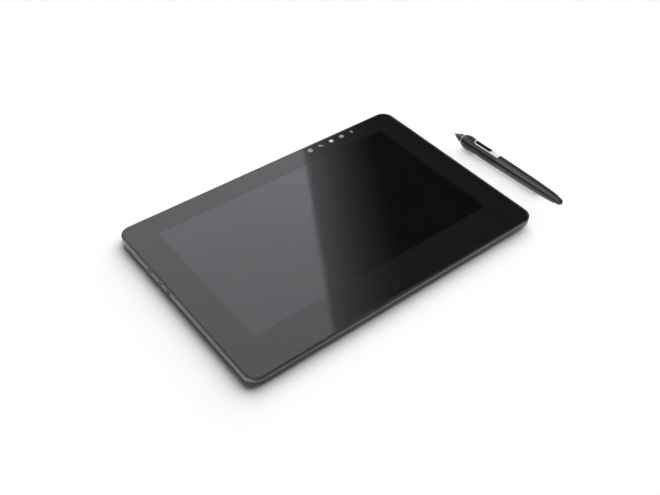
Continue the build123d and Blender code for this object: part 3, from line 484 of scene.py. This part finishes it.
# %% [markdown]
# Two inks are printed behind the glass: black for the border, and pale grey for the five touch-key
# symbols. Printed ink is dull and a little grainy. The glass in front already mirrors, so the inks hardly
# do: a low index of refraction takes that shine away, most of all from the black, where it would show.

# %% Printed border and symbols
PRINT_TONES = ((0.0062, 0.0064, 0.0070), (0.0084, 0.0086, 0.0092))
SYMBOL_TONES = (0.74, 0.84)
INK_SPREAD = 0.1


def ink_finish(name, tones, index, grain, roughness):
    ink = Finish(name, IOR=index)
    specks = ink.noise(grain, detail=2.0)
    ink.vary_tone(specks, *tones)
    ink.vary_roughness(specks, roughness, roughness + INK_SPREAD)
    return ink.material


give(ink_finish("black_print", PRINT_TONES, index=1.12, grain=0.6 * MM, roughness=0.55), "bezel_mask")
give(ink_finish("key_print", SYMBOL_TONES, index=1.4, grain=0.3 * MM, roughness=0.5), "key_symbols")

# %% [markdown]
# A clear film behind the glass feels the touch of a finger, through a grid of conductors too fine to see.
# They would only cost time to draw, so it is a thin clear sheet, like the glass, whose tone and roughness
# change by a trace. It casts no shadow either.

# %% Touch film
FILM_TONES = (0.985, 0.995)
FILM_CLOUD = 4 * MM
FILM_ROUGHNESS = (0.02, 0.03)


def film_finish():
    film = Finish("clear_film", Transmission_Weight=1.0, IOR=1.2)
    cloud = film.noise(FILM_CLOUD, detail=2.0)
    film.vary_tone(cloud, *FILM_TONES)
    film.vary_roughness(cloud, *FILM_ROUGHNESS)
    return film.material


give(film_finish(), "touch_film")
nodes["touch_film"].visible_shadow = False

# %% [markdown]
# The screen panel is switched off, so it is darker than the print around it. Its polariser mirrors a
# little more light than the print does, and slightly bluer, so it turns lighter than the border where the
# room is bright and darker where the room is dark. Its weave of pixels is two band textures, multiplied.
# A band texture is the sine of twenty times its coordinate, so at this scale the weave repeats about
# every six pixels, fine enough to vanish in the photograph.

# %% Screen panel
PANEL_DARK = (0.0028, 0.0030, 0.0034)
PANEL_LIGHT = (0.0040, 0.0043, 0.0048)
PANEL_MIRROR_TINT = (0.75, 0.86, 1.0)
PANEL_CLOUD = 20 * MM
PANEL_ROUGHNESS = (0.12, 0.17)
PIXEL = 0.153 * MM
BAND_TURN = 20.0


def pixel_waves(panel, direction):
    settings = {"wave_type": "BANDS", "bands_direction": direction, "wave_profile": "SIN"}
    inputs = {"Vector": panel.place, "Scale": 1.0 / (BAND_TURN * PIXEL), "Distortion": 0.0}
    return panel.node("ShaderNodeTexWave", settings, inputs).out("Fac")


def panel_finish():
    panel = Finish("dark_panel", IOR=1.2, Specular_Tint=PANEL_MIRROR_TINT)
    weave = pixel_waves(panel, "X") * pixel_waves(panel, "Y")
    panel.set("Base Color", panel.ramp(weave, (0.0, PANEL_DARK), (1.0, PANEL_LIGHT)))
    panel.vary_roughness(panel.noise(PANEL_CLOUD), *PANEL_ROUGHNESS)
    return panel.material


give(panel_finish(), "lcd_cell")

# %% [markdown]
# The shell is one metal tray, painted a satin charcoal. Its side band is a good deal brighter than the
# underside, whose dark tone is partly darker paint and partly painted shade under the overhang, and a
# black bead covers the band's upper rim, so that the glass seems to reach the side. Each could have a
# material of its own, but their edges are soft and follow the slope of the shell.
# finish tells them apart by place: a mask is a slope of the coordinates, clamped to run from zero to one.
# The lower edge of the band climbs from the far side to the near side, because the shell is thinner
# there, and once more on the front.

# %% Sides, band and bead of the shell
FRONT_START = -108.0 * MM
FRONT_REACH = 8.0 * MM
LEFT_START = -197.0 * MM
LEFT_REACH = 6.0 * MM
BAND_LOW = 5.05 * MM
BAND_CLIMB = 0.01404
BAND_FRONT_RISE = 1.6 * MM
BAND_BLUR = 0.9 * MM
RIM_HEIGHT = 11.7 * MM
BEAD_FRONT_DROP = 0.8 * MM


def shell_masks(x, y, z):
    front = ((FRONT_START - y) / FRONT_REACH).clamped()
    left = ((LEFT_START - x) / LEFT_REACH).clamped()
    above_edge = z + y * BAND_CLIMB - front * BAND_FRONT_RISE - BAND_LOW
    band = (above_edge / BAND_BLUR).clamped()
    bead = (z + front * BEAD_FRONT_DROP) > RIM_HEIGHT
    return front, left, band, bead


print("band starts", round(BAND_LOW / MM, 2), "mm above the table, and the bead", round(RIM_HEIGHT / MM, 2))

# %% [markdown]
# Two data sockets and a headphone jack open in the left side. The photograph shows a lighter rim around
# each data socket and a black sleeve around the jack. They are about a pixel wide there, too fine for
# pieces of their own, so the paint draws them. A rim is all that lies within a distance of a short line
# along the mouth, and the sleeve is the same with no line, which is a disc.

# %% Rims and sleeve in the left side
MOUTH_HEIGHT = 8.63 * MM
SOCKET_SPOTS = (53.866 * MM, 33.566 * MM)
SOCKET_HALF = 2.9 * MM
SOCKET_RIM = 2.3 * MM
JACK_SPOT = 18.166 * MM
JACK_SLEEVE = 2.7 * MM


def around_mouth(y, z, spot, half, radius):
    along = (abs(y - spot) - half).larger(0.0)
    up = z - MOUTH_HEIGHT
    return (along * along + up * up) < radius * radius


def mouth_masks(y, z):
    rear_rim, front_rim = [around_mouth(y, z, spot, SOCKET_HALF, SOCKET_RIM) for spot in SOCKET_SPOTS]
    sleeve = around_mouth(y, z, JACK_SPOT, 0.0, JACK_SLEEVE)
    return rear_rim + front_rim, sleeve


print("rims at", rounded(SOCKET_SPOTS), "and sleeve at", round(JACK_SPOT, 3), "m along the left side")

# %% [markdown]
# The paint holds fine flakes of metal, so the band is partly metallic and its tone changes in tiny
# specks, and its surface has the faint orange peel of sprayed paint. The band's tone also holds painted
# shade along the front and painted light along the left side, which make it darker and lighter there
# than the two lamps do. The bead is glossy under a coat, except along the front, where the photograph
# shows no gloss on it.

# %% Painted metal
UNDERSIDE_PAINT_AND_SHADE = ((0.022, 0.023, 0.024), (0.034, 0.035, 0.037))
BAND_TONES = ((0.180, 0.181, 0.186), (0.250, 0.251, 0.256))
BEAD_TONE = (0.012, 0.012, 0.013)
FLAKE_SIZE = 0.18 * MM
FRONT_PAINTED_SHADE = 0.26
LEFT_PAINTED_LIGHT = 0.34
SOCKET_RIM_GAIN = 0.8
BAND_METAL = 0.55
SATIN_ROUGHNESS = 0.36
SATIN_SPREAD = 0.1
SATIN_CLOUD = 20 * MM
BEAD_ROUGHNESS = 0.06
PEEL_SIZE = 1.2 * MM
PEEL_DEPTH = 0.03 * MM


def flake_tones(paint, flakes, tones):
    return paint.ramp(flakes, (0.0, tones[0]), (1.0, tones[1]))


def paint_finish():
    paint = Finish("cover_paint", Coat_Roughness=0.05)
    x, y, z = paint.axes()
    front, left, band, bead = shell_masks(x, y, z)
    rims, sleeve = mouth_masks(y, z)
    black = bead.larger(sleeve * left)
    flakes = paint.cells(FLAKE_SIZE, "Color")
    # painted shade along the front, painted light along the left side, and lighter rims at the sockets
    painted_light_and_rims = 1.0 - front * FRONT_PAINTED_SHADE + left * (LEFT_PAINTED_LIGHT + rims * SOCKET_RIM_GAIN)
    bright = paint.scaled(flake_tones(paint, flakes, BAND_TONES), painted_light_and_rims)
    # below the band: darker paint together with painted shade under the overhang
    shell = paint.blend(band, flake_tones(paint, flakes, UNDERSIDE_PAINT_AND_SHADE), bright)
    paint.set("Base Color", paint.blend(black, shell, BEAD_TONE))
    paint.set("Metallic", band * (1 - black) * BAND_METAL)
    satin = SATIN_ROUGHNESS + paint.noise(SATIN_CLOUD) * SATIN_SPREAD
    gloss = bead * (1 - front)
    paint.set("Roughness", satin * (1 - gloss) + gloss * BEAD_ROUGHNESS)
    paint.set("Coat Weight", gloss)
    paint.bump(paint.noise(PEEL_SIZE), PEEL_DEPTH, strength=0.6)
    return paint.material


give(paint_finish(), "rear_cover", "power_button", "left_leg", "right_leg")

# %% [markdown]
# Rubber is nearly black and dull, with a grain from its mould and a little dust. One finish at three
# tones serves the gasket, the feet with the leg tips, and the pen's grip, whose skin is softer and
# smoother. Its grain is a bump, because it is far too fine to model.

# %% Rubber pieces
GASKET_TONE = (0.012, 0.012, 0.013)
FOOT_TONE = (0.022, 0.022, 0.023)
GRIP_TONE = (0.024, 0.0245, 0.0265)
RUBBER_SHADES = (0.85, 1.2)
DUST_SIZE = 12 * MM
DUST_ROUGHNESS = 0.08


def shades(tone, shares):
    return [tuple(value * share for value in tone) for share in shares]


def rubber_finish(name, tone, roughness, grain, depth):
    rubber = Finish(name, IOR=1.5)
    skin = rubber.noise(grain)
    dust = rubber.noise(DUST_SIZE, detail=4.0)
    rubber.vary_tone(skin * 0.5 + dust * 0.5, *shades(tone, RUBBER_SHADES))
    rubber.vary_roughness(dust, roughness, roughness + DUST_ROUGHNESS)
    rubber.bump(skin, depth, strength=0.5)
    return rubber.material


black_gasket = rubber_finish("black_gasket", GASKET_TONE, roughness=0.6, grain=0.6 * MM, depth=0.02 * MM)
foot_rubber = rubber_finish("foot_rubber", FOOT_TONE, roughness=0.62, grain=0.5 * MM, depth=0.04 * MM)
pen_soft = rubber_finish("pen_soft", GRIP_TONE, roughness=0.29, grain=0.4 * MM, depth=0.008 * MM)
give(black_gasket, "glass_gasket")
give(foot_rubber, "front_foot", "rear_foot", "left_leg_tip", "right_leg_tip")
give(pen_soft, "pen_grip")

# %% [markdown]
# Moulded plastic keeps the fine texture of its mould, which is a bump again. The pen's shell, its cone
# and its side switch differ in tone and gloss: the shell and the cone have a soft coat that blurs the
# highlight of the strip, and the switch is smoother, under a sharper one. The nib is plain dull plastic
# without a coat.

# %% Plastic of the pen
PLASTIC_SHADES = (0.9, 1.12)
PLASTIC_CLOUD = 8 * MM
PLASTIC_SPREAD = 0.06
PLASTIC_INDEX = 1.5
FINE_GRAIN = 0.3 * MM
FINE_DEPTH = 0.01 * MM
SHARP = 0.05


def plastic_finish(
    name, tone, roughness, grain=FINE_GRAIN, depth=FINE_DEPTH, index=PLASTIC_INDEX, coat=0.0, blur=SHARP
):
    plastic = Finish(name, IOR=index, Coat_Weight=coat, Coat_Roughness=blur)
    specks = plastic.noise(grain, detail=2.0)
    plastic.vary_tone(specks, *shades(tone, PLASTIC_SHADES))
    plastic.vary_roughness(plastic.noise(PLASTIC_CLOUD), roughness, roughness + PLASTIC_SPREAD)
    plastic.bump(specks, depth, strength=0.5)
    return plastic.material


pen_shell = plastic_finish("pen_shell", (0.020, 0.0205, 0.0222), roughness=0.29, coat=0.6, blur=0.24)
cone_shell = plastic_finish("cone_shell", (0.021, 0.022, 0.024), roughness=0.24, coat=0.7, blur=0.18)
give(pen_shell, "pen_barrel", "tail_collar", "eraser")
give(cone_shell, "pen_cone")
give(plastic_finish("nib_plastic", (0.05, 0.05, 0.05), roughness=0.5), "pen_nib")
give(plastic_finish("pen_key", (0.008, 0.008, 0.009), roughness=0.18, coat=0.6), "side_switch")

# %% [markdown]
# The tablet casts a deep shadow in the photograph, and the pen beside it hardly any. The same lamps can't
# draw both. So the pen's outer pieces let lamp light through to the table, and the table's own soft light
# doesn't see them. The board, the coil and the pressure sensor inside the pen still cast a shadow, about
# as faint as the one in the photograph.

# %% Faint shadow of the pen
SHADOWLESS = ["pen_nib", "pen_cone", "pen_ring", "pen_grip", "pen_barrel", "tail_collar"]
SHADOWLESS += ["switch_frame", "side_switch", "switch_pin", "eraser", "eraser_sensor"]

for name in SHADOWLESS:
    nodes[name].visible_shadow = False
    nodes[name].visible_diffuse = False
print(len(SHADOWLESS), "pieces of the pen cast no shadow")

# %% [markdown]
# The sockets have steel shells and a plastic tongue, but they lie in holes that hardly any light reaches,
# and the photograph shows them black. So the steel gets a near-black tone, which is painted shade, and the
# tongue is black plastic. In these white surroundings even black plastic mirrors white. An index of
# refraction close to one leaves almost no mirror, so the insides of the sockets and of the jack stay dark.

# %% Insides of the sockets and the jack
DARK_INDEX = 1.08

jack_plastic = plastic_finish("jack_plastic", (0.008, 0.008, 0.008), roughness=0.5, index=DARK_INDEX)
# near-black tone on the steel shells: painted shade inside the holes
socket_steel = plastic_finish("socket_steel", (0.009, 0.009, 0.0095), roughness=0.5, index=DARK_INDEX)
give(jack_plastic, "headphone_jack")
give(socket_steel, "usb_socket_left_rear", "usb_socket_left_front", "usb_socket_right", "card_slot")

# %% [markdown]
# Apart from the fan, which shows through its vent, the plastics inside only show in an exploded view.
# Each still looks like what it is: a black fan and black chips with a coarser skin, white and clear
# sheets that spread the screen's light, a pale yellow strip of lamps, and amber cables. The same finish
# makes them all, since a new tone and a new grain are enough.

# %% Plastics inside
CHIP_TONE = (0.022, 0.022, 0.024)
COARSE_GRAIN = 1 * MM

chip_black = plastic_finish("chip_black", CHIP_TONE, roughness=0.55, grain=0.4 * MM, depth=0.02 * MM)
white_film = plastic_finish("white_film", (0.80, 0.81, 0.81), roughness=0.4, grain=COARSE_GRAIN)
clear_acrylic = plastic_finish("clear_acrylic", (0.76, 0.80, 0.82), roughness=0.12, grain=COARSE_GRAIN)
light_strip = plastic_finish("light_strip", (0.80, 0.79, 0.68), roughness=0.45, grain=COARSE_GRAIN)
cable_film = plastic_finish("cable_film", (0.42, 0.20, 0.05), roughness=0.3, grain=0.8 * MM)
give(chip_black, "board_chips", "power_switch", "fan_rotor", "pressure_sensor", "eraser_sensor")
give(white_film, "diffuser_film", "prism_film", "reflector_film")
give(clear_acrylic, "light_guide")
give(light_strip, "led_bar")
give(cable_film, "display_cable", "sensor_cable")

# %% [markdown]
# Bare metal shows how it was worked. Rolled sheet has fine lines in one direction, an upright screw has
# them along its length, and a cast frame has none. A noise that is squeezed across the lines draws them,
# and both the tone and the roughness follow it, so that a highlight breaks up along them.

# %% Bare metal
LINES_X = (1.0, 14.0, 14.0)
LINES_Y = (14.0, 1.0, 14.0)
LINES_Z = (4.0, 4.0, 1.0)
CAST = (3.0, 3.0, 3.0)
METAL_SHADES = (0.88, 1.0)
METAL_DEPTH = 0.004 * MM


def metal_finish(name, tone, roughness, lines=LINES_X, size=4 * MM, spread=0.08, metallic=1.0):
    metal = Finish(name, Metallic=metallic)
    marks = metal.noise(size, detail=4.0, place=metal.squeezed(lines))
    metal.vary_tone(marks, *shades(tone, METAL_SHADES))
    metal.vary_roughness(marks, roughness - spread / 2, roughness + spread / 2)
    metal.bump(marks, METAL_DEPTH, strength=0.4)
    return metal.material


tray_steel = metal_finish("tray_steel", (0.60, 0.61, 0.62), roughness=0.34)
frame_metal = metal_finish("frame_metal", (0.55, 0.56, 0.57), roughness=0.42, lines=CAST)
pipe_copper = metal_finish("pipe_copper", (0.78, 0.45, 0.30), roughness=0.28)
screw_steel = metal_finish("screw_steel", (0.16, 0.16, 0.17), roughness=0.35, lines=LINES_Z, size=2 * MM)
give(tray_steel, "panel_tray", "sensor_shield", "fan_housing", "vent_mesh")
give(frame_metal, "mid_frame", "cooling_fins")
give(pipe_copper, "heat_pipe", "pen_coil")
give(screw_steel, "cover_screws", "board_screws", "left_leg_pin", "right_leg_pin", "switch_pin")

# %% [markdown]
# The pen's ring and the frame of its side switch are silver. The photograph shows them almost white all
# over, where polished metal would mirror the dark tent in places. So the finish is a silver paint: mostly
# pigment, with a quarter of metal in it.

# %% Silver of the pen
SILVER_METAL = 0.25

pen_bright = metal_finish(
    "pen_bright",
    (0.88, 0.88, 0.90),
    roughness=0.3,
    lines=LINES_Y,
    size=3 * MM,
    spread=0.05,
    metallic=SILVER_METAL,
)
give(pen_bright, "pen_ring", "switch_frame")

# %% [markdown]
# The boards are copper under a green solder mask. The tracks show as slightly raised, lighter lines. Real
# ones could be drawn from a layout, but a board only shows in an exploded view, and the edges of a cell
# pattern give tracks well enough for that.

# %% Circuit boards
MASK_TONE = (0.012, 0.075, 0.040)
TRACK_TONE = (0.030, 0.150, 0.080)
TRACK_GRID = 4 * MM
TRACK_WIDTH = 0.05
TRACK_RISE = 0.03 * MM
BOARD_CLOUD = 3 * MM
BOARD_ROUGHNESS = (0.35, 0.45)


def board_finish():
    board = Finish("board_green", IOR=1.5)
    tracks = board.cells(TRACK_GRID, "Distance", feature="DISTANCE_TO_EDGE") < TRACK_WIDTH
    board.set("Base Color", board.blend(tracks, MASK_TONE, TRACK_TONE))
    board.vary_roughness(board.noise(BOARD_CLOUD), *BOARD_ROUGHNESS)
    board.bump(tracks, TRACK_RISE, strength=0.5)
    return board.material


give(
    board_finish(),
    "pen_sensor_board",
    "main_board",
    "touch_key_board",
    "left_port_board",
    "right_port_board",
    "pen_board",
)

# %% [markdown]
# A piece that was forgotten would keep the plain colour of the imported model, which is easy to miss when
# it lies inside. So the names of all pieces that got no finish here are printed, and the list has to be
# empty.

# %% Pieces without a finish
print("pieces without a finish:", sorted(set(nodes) - dressed))
